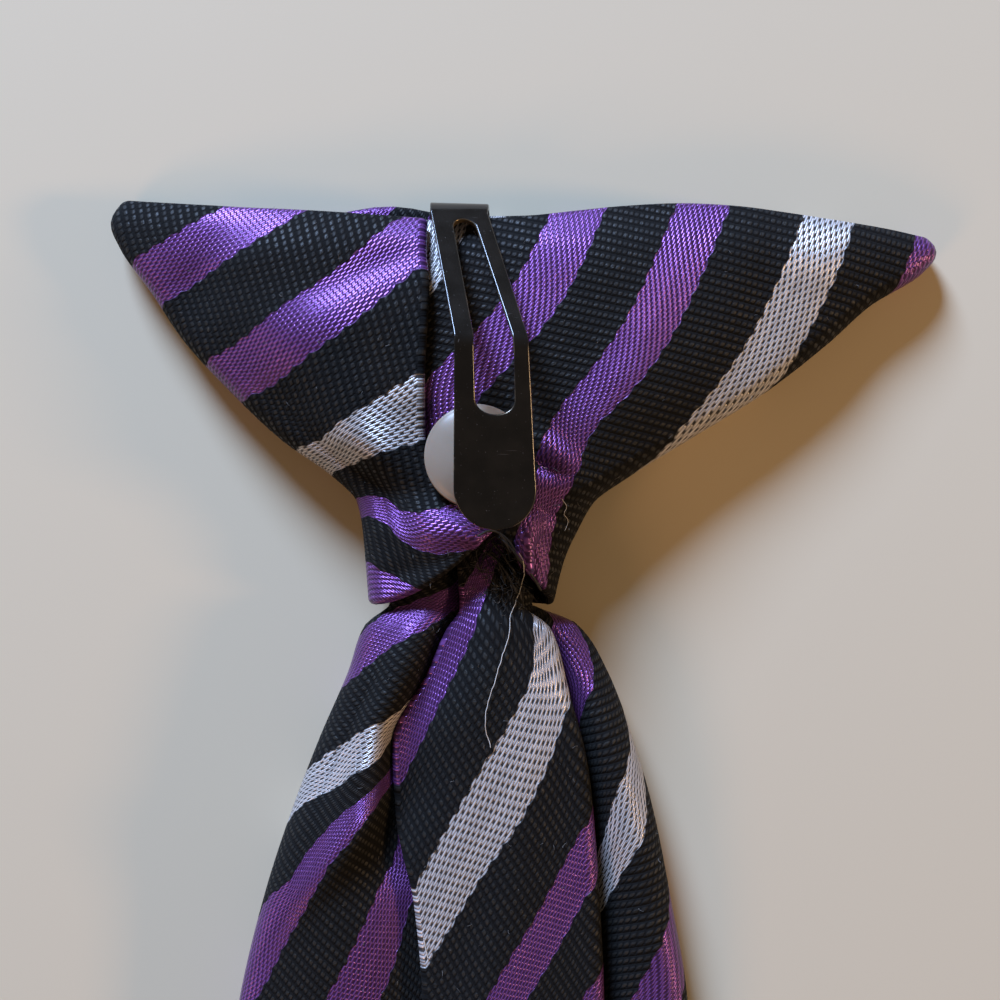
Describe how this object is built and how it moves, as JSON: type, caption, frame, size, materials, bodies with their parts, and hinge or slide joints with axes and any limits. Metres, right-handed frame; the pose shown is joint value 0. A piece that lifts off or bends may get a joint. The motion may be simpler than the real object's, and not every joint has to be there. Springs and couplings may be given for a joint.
{
  "type": "clip-on tie",
  "caption": "Ready-tied necktie with a wide folded knot, a spring clip riveted to the knot's back and a pleated blade that ends in a right-angled point.",
  "frame": {"origin": "on the surface the tie lies on, under the middle of its bounding box", "axes": "+Z out of the tie's back, where the clip is; +Y from the blade's point to the knot's top; +X to the right when the back is looked at with the knot up"},
  "size_m": [0.082, 0.4188, 0.0156],
  "materials": {
    "striped_satin": "black satin with slanting white and purple woven stripes",
    "black_steel": "smooth glossy black lacquer",
    "ivory_plastic": "smooth moulded plastic, soft sheen"
  },
  "bodies": {
    "root": {"knot_wrap": "striped_satin", "blade": "striped_satin", "clip": "black_steel", "rivet": "ivory_plastic"}
  },
  "joints": []
}
